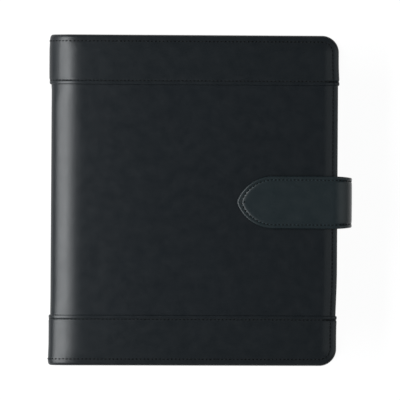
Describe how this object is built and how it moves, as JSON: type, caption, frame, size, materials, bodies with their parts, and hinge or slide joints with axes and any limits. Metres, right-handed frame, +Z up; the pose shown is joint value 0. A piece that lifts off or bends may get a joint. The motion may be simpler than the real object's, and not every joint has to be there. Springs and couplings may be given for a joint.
{
  "type": "leather planner cover",
  "caption": "Padded black leather ring-planner cover with stitched head and tail bands and a magnetic strap tab that wraps the fore-edge.",
  "frame": {"origin": "on the surface the closed cover lies on, under the middle of its whole box", "axes": "+X from the spine to the fore-edge, +Y to the head, +Z up through the thickness"},
  "size_m": [0.2208, 0.2414, 0.0436],
  "materials": {
    "leather": "satin",
    "inner_leather": "satin",
    "lining": "matte",
    "board": "matte",
    "foam": "matte",
    "plated_steel": "polished",
    "magnet_steel": "plated"
  },
  "bodies": {
    "back_cover": {"back_board": "board", "back_foam": "foam", "back_leather": "leather", "back_head_band": "leather", "back_tail_band": "leather", "back_lining": "lining", "back_slip_pocket": "inner_leather", "pen_loop": "inner_leather", "strap_root": "leather", "strap_lower_bend": "leather", "back_roll_leather": "leather", "back_roll_head_band": "leather", "back_roll_tail_band": "leather", "back_roll_lining": "lining"},
    "spine": {"spine_board": "board", "spine_leather": "leather", "spine_head_band": "leather", "spine_tail_band": "leather", "spine_lining": "lining", "ring_plate": "plated_steel", "rivet_head": "plated_steel", "rivet_tail": "plated_steel", "front_roll_leather": "leather", "front_roll_head_band": "leather", "front_roll_tail_band": "leather", "front_roll_lining": "lining"},
    "upper_rings": {"upper_blade": "plated_steel", "upper_ring_1": "plated_steel", "upper_ring_2": "plated_steel", "upper_ring_3": "plated_steel", "upper_ring_4": "plated_steel", "upper_ring_5": "plated_steel", "upper_ring_6": "plated_steel", "upper_ring_7": "plated_steel"},
    "lower_rings": {"lower_blade": "plated_steel", "lower_ring_1": "plated_steel", "lower_ring_2": "plated_steel", "lower_ring_3": "plated_steel", "lower_ring_4": "plated_steel", "lower_ring_5": "plated_steel", "lower_ring_6": "plated_steel", "lower_ring_7": "plated_steel"},
    "head_lever": {"lever_head": "plated_steel"},
    "tail_lever": {"lever_tail": "plated_steel"},
    "front_cover": {"front_board": "board", "front_foam": "foam", "front_leather": "leather", "front_head_band": "leather", "front_tail_band": "leather", "front_lining": "lining", "front_slip_pocket": "inner_leather", "card_pocket_1": "inner_leather", "card_pocket_2": "inner_leather", "clasp_plate": "magnet_steel"},
    "strap_wrap": {"strap_wrap": "leather", "strap_upper_bend": "leather"},
    "strap_tab": {"tab_leather": "leather", "tab_stiffener": "board", "tab_lining": "leather", "tab_magnet": "magnet_steel"}
  },
  "joints": [
    {"name": "spine_hinge", "type": "hinge", "parent": "back_cover", "child": "spine", "pos_m": [-0.1064, 0, 0.00405], "axis": [0, -1, 0], "range_deg": [0, 90], "deforming": ["back_roll_leather", "back_roll_head_band", "back_roll_tail_band", "back_roll_lining"]},
    {"name": "front_hinge", "type": "hinge", "parent": "spine", "child": "front_cover", "pos_m": [-0.1064, 0, 0.03795], "axis": [0, -1, 0], "range_deg": [0, 90], "deforming": ["front_roll_leather", "front_roll_head_band", "front_roll_tail_band", "front_roll_lining"]},
    {"name": "strap_hinge", "type": "hinge", "parent": "back_cover", "child": "strap_wrap", "pos_m": [0.10753, 0, 0.00542], "axis": [0, 1, 0], "range_deg": [0, 90], "deforming": ["strap_lower_bend"]},
    {"name": "tab_hinge", "type": "hinge", "parent": "strap_wrap", "child": "strap_tab", "pos_m": [0.10753, 0, 0.04068], "axis": [0, 1, 0], "range_deg": [0, 90], "deforming": ["strap_upper_bend"]},
    {"name": "rings_open", "type": "hinge", "parent": "spine", "child": "upper_rings", "pos_m": [-0.1031, 0, 0.0278], "axis": [0, -1, 0], "range_deg": [0, 9]},
    {"name": "lower_rings_open", "type": "hinge", "parent": "spine", "child": "lower_rings", "pos_m": [-0.1031, 0, 0.0142], "axis": [0, 1, 0], "range_deg": [0, 9]},
    {"name": "head_lever_push", "type": "hinge", "parent": "spine", "child": "head_lever", "pos_m": [-0.1031, 0.098, 0.021], "axis": [0, 0, 1], "range_deg": [0, 18]},
    {"name": "tail_lever_push", "type": "hinge", "parent": "spine", "child": "tail_lever", "pos_m": [-0.1031, -0.098, 0.021], "axis": [0, 0, -1], "range_deg": [0, 18]}
  ],
  "couplings": [
    {"joint": "lower_rings_open", "follows": "rings_open", "ratio": 1},
    {"joint": "head_lever_push", "follows": "rings_open", "ratio": 2},
    {"joint": "tail_lever_push", "follows": "rings_open", "ratio": 2}
  ]
}
